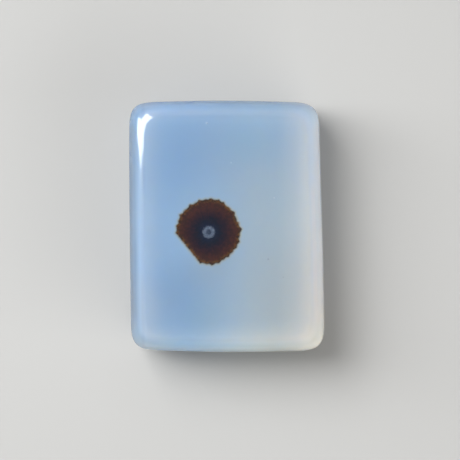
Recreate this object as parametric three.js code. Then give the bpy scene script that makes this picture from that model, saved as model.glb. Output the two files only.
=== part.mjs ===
// A dendritic agate specimen: one piece of milky chalcedony, sawn to a small oblong tablet, shaped
// by hand and polished. Its polished face is up and its flat back lies at z = 0. Millimetres, with
// X across the tablet, Y along it and the origin at the middle of the back.
//
// The stone is a stack of oblong outlines, from the flat back over the side wall and the rolled
// shoulder to the middle of the gently crowned face. Every outline is the same soft-cornered
// four-sided figure, drawn in from the stone's edge by some distance.

import * as THREE from 'three';
import { LoftGeometry } from 'three/addons/geometries/LoftGeometry.js';

// The outline's four corners, where its sides would meet if the corners were sharp. The lapidary's
// eye made the tablet a little wider at one end than at the other.
const CORNERS = [
	{ x: - 6.85, y: - 8.89, ease: 1.25 },
	{ x: 7.09, y: - 8.95, ease: 1.45 },
	{ x: 6.65, y: 8.91, ease: 1.45 },
	{ x: - 7.05, y: 8.92, ease: 1.45 }
];
const END_BOW = 0.33; // how far the control point of each short side stands out from its chord
const SIDE_BOW = 0.15; // the same for the long sides

const THICKNESS = 5.5; // from the back to the middle of the face
const CROWN = 0.13; // how far the middle of the face stands above its rim
const GIRDLE_HEIGHT = 3.75; // where the wall is widest and the shoulder begins
const SHOULDER_WIDTH = 1.1; // how far the shoulder reaches in from the edge
const SHOULDER_REACH = 0.88; // the share of its ellipse that the shoulder uses before the face
const WALL_TAPER = 0.25; // how far the wall draws in between the girdle and the back
const BACK_ROUND = 0.35; // radius of the softened edge around the back

const EDGE_STEPS = 8; // points along each corner and each side
const BACK_STEPS = 3;
const WALL_STEPS = 5;
const SHOULDER_STEPS = 9;
const FACE_STEPS = 6;
const FACE_CENTRE = 0.08; // size of the face's last outline, as a share of its rim

// A closed outline drawn in from the stone's edge, as a ring of points at one height.
function ring( inset, height, scale = 1 ) {

	const corners = CORNERS.map( ( { x, y, ease } ) => ( {
		point: new THREE.Vector2( x - Math.sign( x ) * inset, y - Math.sign( y ) * inset ),
		ease
	} ) );

	// Each side has one control point, pushed out from the middle of its chord.
	const sides = corners.map( ( { point }, i ) => {

		const next = corners[ ( i + 1 ) % corners.length ].point;
		const along = next.clone().sub( point ).normalize();
		const bow = i % 2 === 0 ? END_BOW : SIDE_BOW;
		return new THREE.Vector2(
			( point.x + next.x ) / 2 + along.y * bow,
			( point.y + next.y ) / 2 - along.x * bow
		);

	} );

	// The place where a corner's curve meets its side's curve, on the line that both are tangent to.
	const joint = ( { point, ease }, side ) =>
		side.clone().sub( point ).setLength( ease ).add( point );

	const path = new THREE.Path();
	const start = joint( corners[ 0 ], sides[ sides.length - 1 ] );
	path.moveTo( start.x, start.y );
	corners.forEach( ( corner, i ) => {

		const next = corners[ ( i + 1 ) % corners.length ];
		const leave = joint( corner, sides[ i ] );
		const arrive = joint( next, sides[ i ] );
		path.quadraticCurveTo( corner.point.x, corner.point.y, leave.x, leave.y );
		path.quadraticCurveTo( sides[ i ].x, sides[ i ].y, arrive.x, arrive.y );

	} );

	const points = path.getPoints( EDGE_STEPS );
	points.pop(); // the path ends where it started
	return points.map( ( p ) => new THREE.Vector3( p.x * scale, p.y * scale, height ) );

}

// Values at even steps from 0 to 1, without the 0, which the stretch before has made.
const steps = ( count ) => Array.from( { length: count }, ( _, i ) => ( i + 1 ) / count );

function stoneGeometry() {

	const backInset = WALL_TAPER + BACK_ROUND;
	const rimHeight = THICKNESS - CROWN;

	// The shoulder is the first part of a quarter ellipse, cut off where the face takes over.
	const shoulderAcross = SHOULDER_WIDTH / SHOULDER_REACH;
	const shoulderEnd = Math.acos( 1 - SHOULDER_REACH );
	const shoulderUp = ( rimHeight - GIRDLE_HEIGHT ) / Math.sin( shoulderEnd );

	// The crown is highest in the middle of the face and runs out to nothing at the rim.
	const rim = new THREE.Box3().setFromPoints( ring( SHOULDER_WIDTH, rimHeight ) );
	const middle = rim.getCenter( new THREE.Vector3() );
	const half = rim.getSize( new THREE.Vector3() ).divideScalar( 2 );
	const onCrown = ( point ) => {

		const across = ( point.x - middle.x ) / half.x;
		const along = ( point.y - middle.y ) / half.y;
		return point.setZ( rimHeight + CROWN * ( 1 - across ** 2 ) * ( 1 - along ** 2 ) );

	};

	const sections = [
		ring( backInset, 0 ),

		...steps( BACK_STEPS ).map( ( t ) => {

			const turn = t * Math.PI / 2;
			const inset = backInset - BACK_ROUND * Math.sin( turn );
			return ring( inset, BACK_ROUND * ( 1 - Math.cos( turn ) ) );

		} ),

		...steps( WALL_STEPS ).map( ( t ) => {

			const height = BACK_ROUND + t * ( GIRDLE_HEIGHT - BACK_ROUND );
			return ring( WALL_TAPER * ( 1 - t ) ** 2, height );

		} ),

		...steps( SHOULDER_STEPS ).map( ( t ) => {

			const turn = t * shoulderEnd;
			const inset = shoulderAcross * ( 1 - Math.cos( turn ) );
			return ring( inset, GIRDLE_HEIGHT + shoulderUp * Math.sin( turn ) );

		} ),

		...steps( FACE_STEPS ).map( ( t ) => {

			const share = 1 - t * ( 1 - FACE_CENTRE );
			return ring( SHOULDER_WIDTH, rimHeight, share ).map( onCrown );

		} )
	];

	return new LoftGeometry( sections, { capStart: true, capEnd: true } );

}

const stone = new THREE.Mesh(
	stoneGeometry(),
	new THREE.MeshStandardMaterial( { color: 0xa9c0d3, roughness: 0.12, metalness: 0 } )
);
stone.name = 'agate_tablet';

const specimen = new THREE.Group();
specimen.add( stone );

export default specimen;
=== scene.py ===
"""A dendritic agate specimen: a small polished tablet of milky chalcedony with one round dendrite."""

import math

import bmesh
import bpy
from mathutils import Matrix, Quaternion, Vector


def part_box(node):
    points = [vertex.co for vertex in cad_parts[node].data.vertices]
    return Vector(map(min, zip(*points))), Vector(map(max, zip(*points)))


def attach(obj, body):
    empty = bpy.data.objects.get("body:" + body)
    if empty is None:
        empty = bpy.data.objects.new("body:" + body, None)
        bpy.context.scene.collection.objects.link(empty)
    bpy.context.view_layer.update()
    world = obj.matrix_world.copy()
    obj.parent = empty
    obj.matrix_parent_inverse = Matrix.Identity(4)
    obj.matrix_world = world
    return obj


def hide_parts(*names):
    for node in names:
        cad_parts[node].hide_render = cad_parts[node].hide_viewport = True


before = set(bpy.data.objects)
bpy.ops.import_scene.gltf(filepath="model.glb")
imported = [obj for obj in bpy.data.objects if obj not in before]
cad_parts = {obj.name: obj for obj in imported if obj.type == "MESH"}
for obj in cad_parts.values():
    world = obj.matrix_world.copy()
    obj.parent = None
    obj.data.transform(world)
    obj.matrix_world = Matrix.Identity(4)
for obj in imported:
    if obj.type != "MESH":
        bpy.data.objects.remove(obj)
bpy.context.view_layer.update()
MM = 0.001


# The stone's shape. A lapidary saws the chalcedony to an oblong block, grinds the corners and the
# shoulder round on a wheel and polishes it by hand, so no side is quite square or quite flat.
# A flat outline is grown upwards ring by ring, then the whole block is warped a little.
back_corner, face_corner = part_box("agate_tablet")
THICKNESS = face_corner.z - back_corner.z
BLOCK_HALF_WIDTH = 6.9 * MM
BLOCK_HALF_LENGTH = 8.95 * MM
CORNER_ROUND = 3.15 * MM
CORNER_FULLNESS = 0.79
BACK_ROUND = 0.35 * MM
WALL_TAPER = 0.25 * MM
GIRDLE_HEIGHT = 3.75 * MM
SHOULDER_WIDTH = 1.1 * MM
SHOULDER_REACH = 0.88
CROWN = 0.13 * MM

CORNER_STEPS = 16
SIDE_CUTS = 15
LONG_EDGE = 5 * MM
BACK_RINGS = 4
WALL_RINGS = 5
SHOULDER_RINGS = 14

# The rings from the back up to the face's rim: how far each is drawn in from the block's edge, and
# how high it lies. They round the back's edge, rise along the wall and roll over the shoulder.
rings = [(WALL_TAPER + BACK_ROUND, 0.0)]
for i in range(1, BACK_RINGS + 1):
    turn = i / BACK_RINGS * math.pi / 2
    drawn_in = WALL_TAPER + BACK_ROUND * (1 - math.sin(turn))
    rings.append((drawn_in, BACK_ROUND * (1 - math.cos(turn))))

for i in range(1, WALL_RINGS + 1):
    share = i / WALL_RINGS
    drawn_in = WALL_TAPER * (1 - share) ** 2
    rings.append((drawn_in, BACK_ROUND + share * (GIRDLE_HEIGHT - BACK_ROUND)))

rim_height = THICKNESS - CROWN
shoulder_end = math.acos(1 - SHOULDER_REACH)
shoulder_across = SHOULDER_WIDTH / SHOULDER_REACH
shoulder_up = (rim_height - GIRDLE_HEIGHT) / math.sin(shoulder_end)
for i in range(1, SHOULDER_RINGS + 1):
    turn = i / SHOULDER_RINGS * shoulder_end
    drawn_in = shoulder_across * (1 - math.cos(turn))
    rings.append((drawn_in, GIRDLE_HEIGHT + shoulder_up * math.sin(turn)))

# The first outline is the back's: an oblong with round corners. It starts as a plane that reaches
# 1 m each way, so half sizes resize it. Its four straight sides are cut into short steps, because
# they bow a little later.
bpy.ops.object.select_all(action="DESELECT")
bpy.ops.mesh.primitive_plane_add(size=2)
stone = bpy.context.object
stone.name = "polished_stone"
stone.data.name = "polished_stone"
bpy.ops.object.mode_set(mode="EDIT")
back_drawn_in = rings[0][0]
back_half = (BLOCK_HALF_WIDTH - back_drawn_in, BLOCK_HALF_LENGTH - back_drawn_in, 1)
bpy.ops.transform.resize(value=back_half)
bpy.ops.mesh.bevel(
    offset=CORNER_ROUND, segments=CORNER_STEPS, profile=CORNER_FULLNESS, affect="VERTICES"
)

bpy.ops.mesh.select_mode(type="EDGE")
bpy.ops.mesh.select_all(action="DESELECT")
outline = bmesh.from_edit_mesh(stone.data)
for edge in outline.edges:
    edge.select = edge.calc_length() > LONG_EDGE
bmesh.update_edit_mesh(stone.data)
bpy.ops.mesh.subdivide(number_cuts=SIDE_CUTS)
bpy.ops.mesh.select_mode(type="FACE")
bpy.ops.mesh.select_all(action="SELECT")

for (last_drawn_in, last_height), (drawn_in, height) in zip(rings, rings[1:]):
    squeeze_x = (BLOCK_HALF_WIDTH - drawn_in) / (BLOCK_HALF_WIDTH - last_drawn_in)
    squeeze_y = (BLOCK_HALF_LENGTH - drawn_in) / (BLOCK_HALF_LENGTH - last_drawn_in)
    bpy.ops.mesh.extrude_region_move()
    bpy.ops.transform.resize(value=(squeeze_x, squeeze_y, 1), center_override=(0, 0, 0))
    bpy.ops.transform.translate(value=(0, 0, height - last_height))

# The face's rings, as shares of its rim. The first two lie close to the rim, which keeps it crisp.
FACE_SHARES = (1.0, 0.985, 0.95, 0.86, 0.76, 0.66, 0.55, 0.44, 0.33, 0.22, 0.12, 0.05)
for last_share, share in zip(FACE_SHARES, FACE_SHARES[1:]):
    squeeze = share / last_share
    bpy.ops.mesh.extrude_region_move()
    bpy.ops.transform.resize(value=(squeeze, squeeze, 1), center_override=(0, 0, 0))

bpy.ops.mesh.select_all(action="SELECT")
bpy.ops.mesh.normals_make_consistent(inside=False)
bpy.ops.object.mode_set(mode="OBJECT")

# The warp of hand cutting, on a cage of three by three by three points: each corner's move across
# and along, the bow of the ends and the sides, and the crown in the middle of the face.
CORNER_MOVES = {
    (-1, -1): (-0.03 * MM, -0.03 * MM),
    (1, -1): (0.22 * MM, -0.06 * MM),
    (1, 1): (-0.20 * MM, 0.02 * MM),
    (-1, 1): (-0.18 * MM, 0.04 * MM),
}
END_BOW = 0.13 * MM
SIDE_BOW = 0.03 * MM
CAGE_STEPS = (-1, 0, 1)


def cage_move(u, v, w):
    """How far one point of the cage moves, for u, v and w of -1, 0 or 1."""
    nearest = [move for (cu, cv), move in CORNER_MOVES.items() if u * cu >= 0 and v * cv >= 0]
    across = sum(move[0] for move in nearest) / len(nearest)
    along = sum(move[1] for move in nearest) / len(nearest)
    if v == 0:
        across += u * SIDE_BOW
    if u == 0:
        along += v * END_BOW
    up = CROWN if (u, v, w) == (0, 0, 1) else 0
    return across, along, up


bpy.ops.object.add(type="LATTICE", location=(0, 0, THICKNESS / 2))
cage = bpy.context.object
cage.data.points_u = cage.data.points_v = cage.data.points_w = len(CAGE_STEPS)
cage.data.interpolation_type_u = "KEY_CARDINAL"
cage.data.interpolation_type_v = "KEY_CARDINAL"
cage.data.interpolation_type_w = "KEY_CARDINAL"
cage_size = (2 * BLOCK_HALF_WIDTH, 2 * BLOCK_HALF_LENGTH, THICKNESS)
cage.scale = cage_size
cage_places = [(u, v, w) for w in CAGE_STEPS for v in CAGE_STEPS for u in CAGE_STEPS]
for point, cage_place in zip(cage.data.points, cage_places):
    move = cage_move(*cage_place)
    point.co_deform = [point.co_deform[k] + move[k] / cage_size[k] for k in range(3)]

bpy.ops.object.select_all(action="DESELECT")
stone.select_set(True)
bpy.context.view_layer.objects.active = stone
warp = stone.modifiers.new("hand cutting", "LATTICE")
warp.object = cage
bpy.ops.object.modifier_apply(modifier=warp.name)
bpy.data.objects.remove(cage)
smooth = stone.modifiers.new("polish", "SUBSURF")
smooth.levels = smooth.render_levels = 1
bpy.ops.object.modifier_apply(modifier=smooth.name)
bpy.ops.object.shade_smooth()

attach(stone, "root")
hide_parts("agate_tablet")


# The chalcedony: milky and translucent. Its blue at the left and the warmer, paler milk towards the
# right are partly its own tone and partly painted light:
# the glow of light coming through the stone is painted into its colour. A brown dendrite grew inside
# it, cut off straight by a healed crack. All of this is colour by place in millimetres, and the
# polish runs over it unbroken.
chalcedony = bpy.data.materials.new("milky chalcedony")
chalcedony.use_nodes = True
shader = chalcedony.node_tree.nodes["Principled BSDF"]

# The functions below add their nodes to this tree.
tree = chalcedony.node_tree


def feed(socket, value):
    """Gives a socket another node's output, or a plain number, direction or colour."""
    if isinstance(value, bpy.types.NodeSocket):
        tree.links.new(value, socket)
    elif socket.type == "RGBA":
        socket.default_value = (*value, 1)
    else:
        socket.default_value = value


def calc(operation, first, second=0.0):
    """A sum on two numbers, by the Math node's name for it."""
    node = tree.nodes.new("ShaderNodeMath")
    node.operation = operation
    feed(node.inputs[0], first)
    feed(node.inputs[1], second)
    return node.outputs[0]


def both(first, second):
    """What two shares have in common."""
    return calc("MULTIPLY", first, second)


def place_calc(operation, first, second=(0, 0, 0)):
    """A sum on two places, by the Vector Math node's name for it."""
    node = tree.nodes.new("ShaderNodeVectorMath")
    node.operation = operation
    feed(node.inputs[0], first)
    feed(node.inputs[1], second)
    return node.outputs["Value" if operation in ("LENGTH", "DOT_PRODUCT") else "Vector"]


def split(where):
    """The three numbers of a place or a direction."""
    node = tree.nodes.new("ShaderNodeSeparateXYZ")
    feed(node.inputs[0], where)
    return node.outputs


def fade(value, start, end, low=0.0, high=1.0, manner="SMOOTHSTEP"):
    """Goes from low to high while the value goes from start to end, softly if not told otherwise."""
    node = tree.nodes.new("ShaderNodeMapRange")
    node.interpolation_type = manner
    feed(node.inputs["Value"], value)
    feed(node.inputs["From Min"], start)
    feed(node.inputs["From Max"], end)
    feed(node.inputs["To Min"], low)
    feed(node.inputs["To Max"], high)
    return node.outputs["Result"]


def lay(share, under, over, blend="MIX"):
    """Lays a share of one colour over another."""
    node = tree.nodes.new("ShaderNodeMix")
    node.data_type = "RGBA"
    node.blend_type = blend
    factor, under_colour, over_colour = node.inputs[0], node.inputs[6], node.inputs[7]
    feed(factor, share)
    feed(under_colour, under)
    feed(over_colour, over)
    return node.outputs[2]


def dye(share, under, tint):
    """Tints a share of a colour, which deepens it where the tint is under 1."""
    return lay(share, under, tint, "MULTIPLY")


def noise(where, scale, detail):
    """Soft noise around 0.5."""
    node = tree.nodes.new("ShaderNodeTexNoise")
    feed(node.inputs["Vector"], where)
    feed(node.inputs["Scale"], scale)
    feed(node.inputs["Detail"], detail)
    return node.outputs["Fac"]


def wander(amount, where, scale, detail):
    """Soft noise around 0, from minus half the amount to half of it."""
    return calc("MULTIPLY", amount, calc("SUBTRACT", noise(where, scale, detail), 0.5))


object_place = tree.nodes.new("ShaderNodeTexCoord").outputs["Object"]
place = place_calc("MULTIPLY", object_place, (1 / MM, 1 / MM, 1 / MM))
across, along, up = split(place)


def way_from(middle):
    """The way from a middle to this place, as seen from above."""
    return place_calc("MULTIPLY", place_calc("SUBTRACT", place, middle), (1, 1, 0))


def reach_from(middle):
    """How far this place is from a middle, as seen from above."""
    return place_calc("LENGTH", way_from(middle))


# The milk goes from blue at the left to a warm grey, and then to a painted cream glow at the right,
# where light coming through the stone is painted into the colour;
# the change is partly the stone's own tone and partly painted light. A paler blue haze lies around
# the dendrite, and the far end keeps more of the blue.
BLUE = (0.21, 0.34, 0.52)
WARM_GREY = (0.33, 0.42, 0.50)
HAZE = (0.30, 0.44, 0.60)
CREAM_GLOW = (0.65, 0.62, 0.55)
LEAST_WARMTH = 0.32

DENDRITE_MIDDLE = (-1.35, -0.36, 0)
from_dendrite = way_from(DENDRITE_MIDDLE)
reach = place_calc("LENGTH", from_dendrite)

nearer_is_warmer = fade(along, 9.0, 0.2, low=LEAST_WARMTH)
milk = lay(both(fade(across, -3.6, 2.6), nearer_is_warmer), BLUE, WARM_GREY)
milk = lay(both(fade(reach, 6.5, -1.9), fade(across, 3.2, -2.0)), milk, HAZE)
milk = lay(fade(across, 3.4, 8.7), milk, CREAM_GLOW)

# Towards its ends and sides the milk is paler or deeper, partly its own tone and partly painted light
# and shade; the strong warm lightening at the near end is a painted glow of light coming through the
# stone. The table lists the share of each place, and the tint.
near_end = fade(along, -6.7, -10.8)
far_end = fade(along, 7.4, 9.3)
left_side = fade(across, -4.3, -5.8)
right_side = fade(across, 4.2, 5.2)
far_left = both(fade(along, 7.2, 8.3), fade(across, 1, -3))
near_left = both(fade(along, -3, -6), fade(across, -2.5, -5))
near_right = both(fade(along, 2, -6), fade(across, 0, 4))
SIDE_TONES_AND_PAINTED_LIGHT = [
    (near_end, (1.70, 1.38, 1.12)),
    (far_end, (0.85, 0.79, 0.79)),
    (left_side, (1.10, 1.00, 0.95)),
    (right_side, (0.92, 0.95, 1.00)),
    (far_left, (1.10, 1.05, 1.05)),
    (near_left, (1.07, 1.00, 0.95)),
    (near_right, (1.01, 0.95, 0.90)),
]

# Painted shade and light on the rolled shoulder: the milk is painted deeper or paler there for how
# light falls on the curve, with a painted dark line along the left crease and painted shade on the
# outer shoulder.
# The crease is the line where the face ends and the shoulder begins. All of this but the upper
# shoulder's own tints carries on down the wall.
past_crease = fade(up, 5.38, 5.28)
whole_shoulder = fade(up, 5.36, 4.9)
upper_shoulder = both(fade(up, 5.31, 5.22), fade(up, 4.95, 5.12))
lower_shoulder_shade = both(fade(up, 4.95, 4.5), fade(across, 9, 2))
left_crease_shade = both(fade(across, -5.83, -5.97), fade(across, -6.22, -6.06))
between_left_corners = both(fade(along, -9.0, -6.0), fade(along, 9.4, 8.0))
left_edge = both(fade(across, -4.5, -6.2), between_left_corners)
right_edge = both(fade(across, 4.5, 6.2), fade(along, -8.5, -4))
middle_right = both(right_edge, fade(along, 4, 2))
far_edge = fade(along, 6.5, 8.2)
near_edge = fade(along, -6.5, -8.2)
SHOULDER_PAINTED_SHADE_AND_LIGHT = [
    (upper_shoulder, (1.02, 1.04, 1.05)),
    (lower_shoulder_shade, (0.85, 0.85, 0.85)),
    (left_crease_shade, (0.95, 0.94, 0.95)),
    (both(whole_shoulder, left_edge), (0.65, 0.68, 0.70)),
    (both(whole_shoulder, far_edge), (0.92, 1.04, 1.10)),
    (both(whole_shoulder, near_edge), (0.85, 0.94, 0.98)),
    (both(past_crease, right_edge), (0.95, 1.00, 1.10)),
    (both(upper_shoulder, middle_right), (1.08, 1.00, 0.96)),
]
for share, tint in SIDE_TONES_AND_PAINTED_LIGHT + SHOULDER_PAINTED_SHADE_AND_LIGHT:
    milk = dye(share, milk, tint)

# Soft clouds in the milk, deeper or warmer than what is around them: where, how wide and the tint.
CLOUDS = [
    ((1.5, 6.1, 0), 3.0, (0.95, 1.00, 1.00)),
    ((-1.3, -3.0, 0), 2.6, (1.00, 0.95, 0.90)),
    ((-3.3, -4.2, 0), 2.8, (0.95, 0.95, 0.95)),
    ((-1.6, -6.4, 0), 2.4, (1.00, 1.00, 0.95)),
]
for where, width, tint in CLOUDS:
    milk = dye(fade(reach_from(where), width, 0), milk, tint)

# The dendrite's branches end in small pointed teeth: where each points, in degrees from +X towards
# +Y, and how far it reaches. Between two teeth the edge falls back, all the way over a wide gap.
TEETH = [
    (3, 2.48), (15, 2.31), (24, 2.27), (35, 2.39), (48, 2.31), (61, 2.38), (70, 2.40), (85, 2.38),
    (94, 2.31), (106, 2.35), (114, 2.23), (124, 2.32), (138, 2.25), (150, 2.36), (160, 2.26),
    (171, 2.32), (184, 2.33), (246, 2.29), (256, 2.41), (267, 2.39), (277, 2.50), (290, 2.46),
    (300, 2.37), (309, 2.40), (319, 2.37), (330, 2.41), (341, 2.43), (352, 2.35),
]
FALL_BACK = 0.09
WIDE_GAP = 12
LEAST_REACH = 2.0
REACH_RANGE = 0.6
CRACK_HEADING = 219
CRACK_DISTANCE = 1.89

knots = []
for number, (tooth_heading, tooth_reach) in enumerate(TEETH):
    next_heading, next_reach = TEETH[(number + 1) % len(TEETH)]
    gap = (next_heading - tooth_heading) % 360
    valley_reach = (tooth_reach + next_reach) / 2 - FALL_BACK * min(1, gap / WIDE_GAP)
    knots.append((tooth_heading, tooth_reach))
    knots.append((tooth_heading + gap / 2, valley_reach))

# The edge is a curve over one turn that starts at the crack's heading, where the crack cuts its
# seam off. It runs from 0 at the least reach to 1 at the end of the range.
toothed_edge = tree.nodes.new("ShaderNodeFloatCurve")
for knot_heading, knot_reach in knots:
    share_of_turn = (knot_heading - CRACK_HEADING) % 360 / 360
    share_of_range = (knot_reach - LEAST_REACH) / REACH_RANGE
    knot = toothed_edge.mapping.curves[0].points.new(share_of_turn, share_of_range)
    knot.handle_type = "VECTOR"
toothed_edge.mapping.update()

crack_out = (math.cos(math.radians(CRACK_HEADING)), math.sin(math.radians(CRACK_HEADING)), 0)
crack_along = (-crack_out[1], crack_out[0], 0)
towards_crack = place_calc("DOT_PRODUCT", from_dendrite, crack_out)
beside_crack = place_calc("DOT_PRODUCT", from_dendrite, crack_along)
turn_from_crack = calc("ARCTAN2", beside_crack, towards_crack)
feed(toothed_edge.inputs["Value"], calc("FRACT", calc("DIVIDE", turn_from_crack, 2 * math.pi)))
past_least = calc("MULTIPLY", REACH_RANGE, toothed_edge.outputs["Value"])
edge_reach = calc("ADD", LEAST_REACH, past_least)

# Depth is how far a place lies inside the edge, or inside the crack, whichever is nearer.
frayed = wander(0.10, place, 7, 3)
edge_depth = calc("SUBTRACT", calc("ADD", edge_reach, frayed), reach)
crack_depth = calc("SUBTRACT", calc("ADD", CRACK_DISTANCE, frayed), towards_crack)
depth = calc("MINIMUM", edge_depth, crack_depth)

# The branches are darkest around the seed they grew from and a patchy red-brown further out: how
# far out, and the colour.
BRANCH_COLOURS = [
    (0.00, (0.007, 0.015, 0.038)),
    (0.55, (0.007, 0.015, 0.038)),
    (0.87, (0.008, 0.012, 0.026)),
    (1.16, (0.017, 0.012, 0.024)),
    (1.45, (0.028, 0.014, 0.021)),
    (1.76, (0.038, 0.017, 0.018)),
    (2.10, (0.044, 0.018, 0.017)),
]
FARTHEST = 2.4
RUSTY = (1.40, 1.12, 1.04)
SEED_MIDDLE = (-1.28, -0.43, 0)

branches = tree.nodes.new("ShaderNodeValToRGB")
stops = branches.color_ramp.elements
stops.remove(stops[1])
for stop_reach, branch_colour in BRANCH_COLOURS:
    stop = stops[0] if stop_reach == 0 else stops.new(stop_reach / FARTHEST)
    stop.color = (*branch_colour, 1)
seed_reach = reach_from(SEED_MIDDLE)
fibres = wander(0.60, place_calc("NORMALIZE", from_dendrite), 14, 3)
knotting = wander(0.45, place, 3.5, 2)
grown = calc("ADD", seed_reach, calc("ADD", fibres, knotting))
feed(branches.inputs["Fac"], calc("DIVIDE", grown, FARTHEST))
rusty_patches = fade(noise(place, 4.5, 3), 0.42, 0.60)
inside = dye(rusty_patches, branches.outputs["Color"], RUSTY)

# A golden fringe runs around them, broken by the dark tips of the longer branches.
GOLD = (0.130, 0.062, 0.020)
DARK_TIP = (0.040, 0.025, 0.018)
dark_patches = fade(noise(place, 5, 2), 0.38, 0.62)
long_branches = fade(reach, 2.25, 2.38)
fringe = fade(depth, 0.36, 0.02)
fringe_colour = lay(dark_patches, GOLD, DARK_TIP)
fringe_colour = lay(long_branches, fringe_colour, DARK_TIP)
inside = lay(fringe, inside, fringe_colour)

# The seed is a small pale ring, mottled, around a darker heart.
SEED_RING = (0.146, 0.185, 0.254)
SEED_HEART = (0.044, 0.065, 0.106)
MOTTLED = (0.62, 0.64, 0.68)
out_of_heart = fade(seed_reach, 0.09, 0.32)
seed_patches = fade(noise(place, 8, 2), 0.38, 0.62)
seed = fade(calc("ADD", seed_reach, wander(0.2, place, 6, 2)), 0.53, 0.32)
seed_colour = lay(out_of_heart, SEED_HEART, SEED_RING)
seed_colour = dye(seed_patches, seed_colour, MOTTLED)
inside = lay(seed, inside, seed_colour)

# The dendrite shows near the face and is gone below the shoulder. It warms the milk around it.
WARMED = (1.12, 0.93, 0.70)
near_face = fade(up, 3.6, 4.4)
covered = both(fade(depth, -0.08, 0.07), near_face)
around_it = both(fade(depth, -0.20, -0.03), near_face)
milk = dye(around_it, milk, WARMED)
colour = lay(covered, milk, inside)

# Specks caught in the milk: where, how wide, how strong and what colour.
SPECKS = [
    ((-1.43, 7.43, 0), 0.13, 0.45, (0.42, 0.50, 0.60)),
    ((-1.38, 7.39, 0), 0.05, 0.50, (0.12, 0.16, 0.22)),
    ((0.33, 4.57, 0), 0.08, 0.30, (0.50, 0.60, 0.68)),
    ((3.44, 2.04, 0), 0.08, 0.25, (0.60, 0.66, 0.72)),
    ((3.01, -2.39, 0), 0.10, 0.35, (0.18, 0.21, 0.24)),
    ((4.10, -3.69, 0), 0.09, 0.20, (0.22, 0.24, 0.26)),
]
SPECK_CORE = 0.3
for where, width, strength, speck_colour in SPECKS:
    speck = fade(reach_from(where), width, width * SPECK_CORE, high=strength)
    colour = lay(both(speck, near_face), colour, speck_colour)
feed(shader.inputs["Base Color"], colour)

# Polished all over but for the back, which is only ground.
POLISH = 0.055
GROUND = 0.45
GROUND_TOP = 0.05
POLISH_BOTTOM = 0.20
roughness = fade(up, GROUND_TOP, POLISH_BOTTOM, low=GROUND, high=POLISH, manner="LINEAR")
feed(shader.inputs["Roughness"], roughness)
shader.inputs["IOR"].default_value = 1.54
shader.inputs["Specular IOR Level"].default_value = 1.0

# The milk scatters the light that enters it, and red light goes furthest.
SCATTER_DISTANCE = 12 * MM
SCATTER_BY_COLOUR = (1.0, 0.8, 0.6)
shader.inputs["Subsurface Weight"].default_value = 1.0
shader.inputs["Subsurface Radius"].default_value = SCATTER_BY_COLOUR
shader.inputs["Subsurface Scale"].default_value = SCATTER_DISTANCE
stone.data.materials.clear()
stone.data.materials.append(chalcedony)


# The floor, the lights and the camera. The floor is pale and dull. Two upright panels make the key
# light, a third fills in from the other side, and the pale walls of a studio stand all around.
FLOOR_SIZE = 2
FLOOR_GREY = (0.5, 0.5, 0.49, 1)
bpy.ops.object.select_all(action="DESELECT")
bpy.ops.mesh.primitive_plane_add(size=FLOOR_SIZE)
floor = bpy.context.object
floor.name = "floor"
floor_finish = bpy.data.materials.new("pale floor")
floor_finish.use_nodes = True
floor_shader = floor_finish.node_tree.nodes["Principled BSDF"]
floor_shader.inputs["Base Color"].default_value = FLOOR_GREY
floor_shader.inputs["Roughness"].default_value = 0.8
floor.data.materials.append(floor_finish)


def soft_box(name, azimuth, distance, width, bottom, top, radiance, lean=0.0):
    """An upright light panel that faces the stone; azimuth counts from +X towards +Y."""
    panel = bpy.data.lights.new(name, "AREA")
    panel.shape = "RECTANGLE"
    panel.size = width
    panel.size_y = top - bottom
    panel.energy = radiance * math.pi * width * (top - bottom)
    lamp = bpy.data.objects.new(name, panel)
    bpy.context.collection.objects.link(lamp)
    outward = Vector((math.cos(math.radians(azimuth)), math.sin(math.radians(azimuth)), 0))
    lamp.location = outward * distance + Vector((0, 0, (bottom + top) / 2))
    upright = outward.to_track_quat("Z", "Y")
    lamp.rotation_euler = (upright @ Quaternion((0, 0, 1), math.radians(lean))).to_euler()
    return lamp


# The key light is a panel close by at the upper left, over a smaller one at its foot. Their mirror
# image is the white blade on the stone's shoulder, so their sides set where that blade begins, how
# it tapers and where it ends.
KEY_RADIANCE = 7.0
KEY_BOTTOM = 75 * MM
soft_box(
    "key", azimuth=144.0, distance=95 * MM, width=110 * MM, bottom=KEY_BOTTOM, top=399 * MM,
    radiance=KEY_RADIANCE, lean=2.3
)
soft_box(
    "key foot", azimuth=162.6, distance=100 * MM, width=46 * MM, bottom=30 * MM, top=KEY_BOTTOM,
    radiance=KEY_RADIANCE, lean=-3
)
fill = soft_box(
    "fill", azimuth=-40, distance=350 * MM, width=490 * MM, bottom=10 * MM, top=228 * MM, radiance=4.2
)
fill.data.color = (1, 0.985, 0.97)
fill.visible_glossy = False

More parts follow.
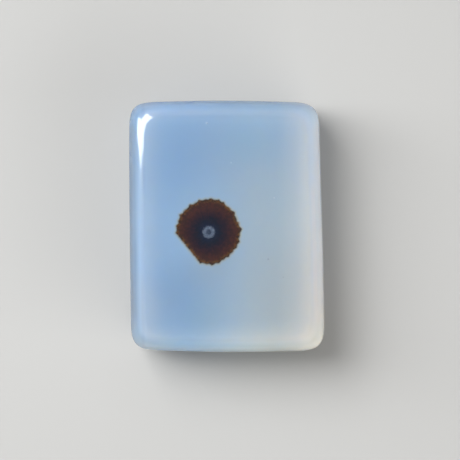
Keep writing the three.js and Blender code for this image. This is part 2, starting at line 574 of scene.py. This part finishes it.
# The studio's walls are brightest behind the key light and dimmer near the floor, and the ceiling
# is dim. Heights here are the upward part of a direction, from 0 at the horizon to 1 overhead.
KEY_SIDE = (-0.7, 0.7, 0)
BRIGHT_WALL = 0.9
FAR_WALL = 0.16
LOW_WALL = 0.45
CEILING_LIGHT = 0.12
WALL_TOP = 0.80
CEILING_START = 0.90

studio = bpy.data.worlds.new("studio")
bpy.context.scene.world = studio
studio.use_nodes = True
# From here on the functions add their nodes to the studio's tree.
tree = studio.node_tree
direction = tree.nodes.new("ShaderNodeTexCoord").outputs["Generated"]
upward = split(direction)["Z"]
towards_key = place_calc("DOT_PRODUCT", direction, KEY_SIDE)
key_wall = fade(towards_key, -0.3, 0.7, low=FAR_WALL, high=BRIGHT_WALL, manner="LINEAR")
higher_is_brighter = fade(upward, 0.1, 0.8, low=LOW_WALL, manner="LINEAR")
wall_light = both(key_wall, higher_is_brighter)
brightness = fade(upward, WALL_TOP, CEILING_START, low=wall_light, high=CEILING_LIGHT)
background = tree.nodes["Background"]
feed(background.inputs["Color"], (1, 1, 1))
feed(background.inputs["Strength"], brightness)

# The camera looks straight down, and the stone lies a few pixels off the middle of its picture. A
# pixel covers this much of the stone at the height of its girdle.
PIXEL = 0.0725 * MM
FRAME_PIXELS = 460
SENSOR_WIDTH = 36
CAMERA_HEIGHT = 300 * MM
STONE_LEFT_OF_CENTRE = 3.5 * PIXEL
STONE_ABOVE_CENTRE = 3.9 * PIXEL
camera_data = bpy.data.cameras.new("camera")
camera_data.sensor_width = SENSOR_WIDTH
camera_data.lens = SENSOR_WIDTH * CAMERA_HEIGHT / (FRAME_PIXELS * PIXEL)
camera_data.clip_start = 10 * MM
camera = bpy.data.objects.new("camera", camera_data)
bpy.context.collection.objects.link(camera)
camera.location = (STONE_LEFT_OF_CENTRE, -STONE_ABOVE_CENTRE, GIRDLE_HEIGHT + CAMERA_HEIGHT)
bpy.context.scene.camera = camera
bpy.context.scene.view_settings.view_transform = "Standard"
